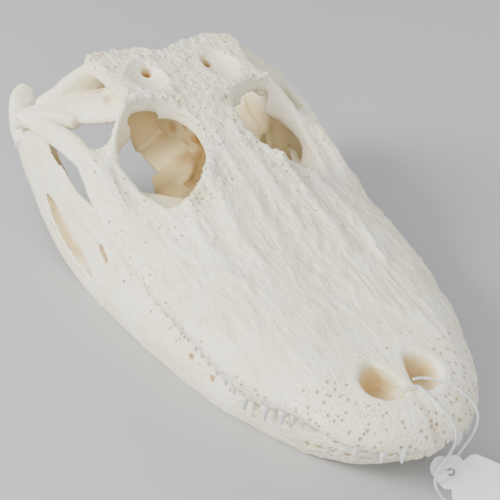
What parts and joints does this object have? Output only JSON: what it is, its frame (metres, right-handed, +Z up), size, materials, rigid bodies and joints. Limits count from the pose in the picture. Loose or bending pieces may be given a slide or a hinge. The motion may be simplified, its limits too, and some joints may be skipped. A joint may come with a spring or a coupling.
{
  "type": "alligator skull",
  "caption": "Still, life-size alligator skull with its lower jaw closed, broad snout, and a paper tag tied through the nostrils.",
  "frame": {"origin": "on the floor, under the middle of the skull's length and width", "axes": "+Z up, +Y from the tip of the snout towards the back of the head, +X to the animal's left"},
  "size_m": [0.2385, 0.5116, 0.1414],
  "materials": {
    "bone": "matt bleached bone",
    "paper": "matt white card",
    "cotton": "soft white cotton twine"
  },
  "bodies": {
    "root": {"rostrum": "bone", "frontal": "bone", "palate": "bone", "skull_table": "bone", "cheek_right": "bone", "cheek_left": "bone", "quadrate_right": "bone", "quadrate_left": "bone", "mandible_right": "bone", "mandible_left": "bone", "string_front": "cotton", "string_side": "cotton", "tag": "paper"}
  },
  "joints": []
}
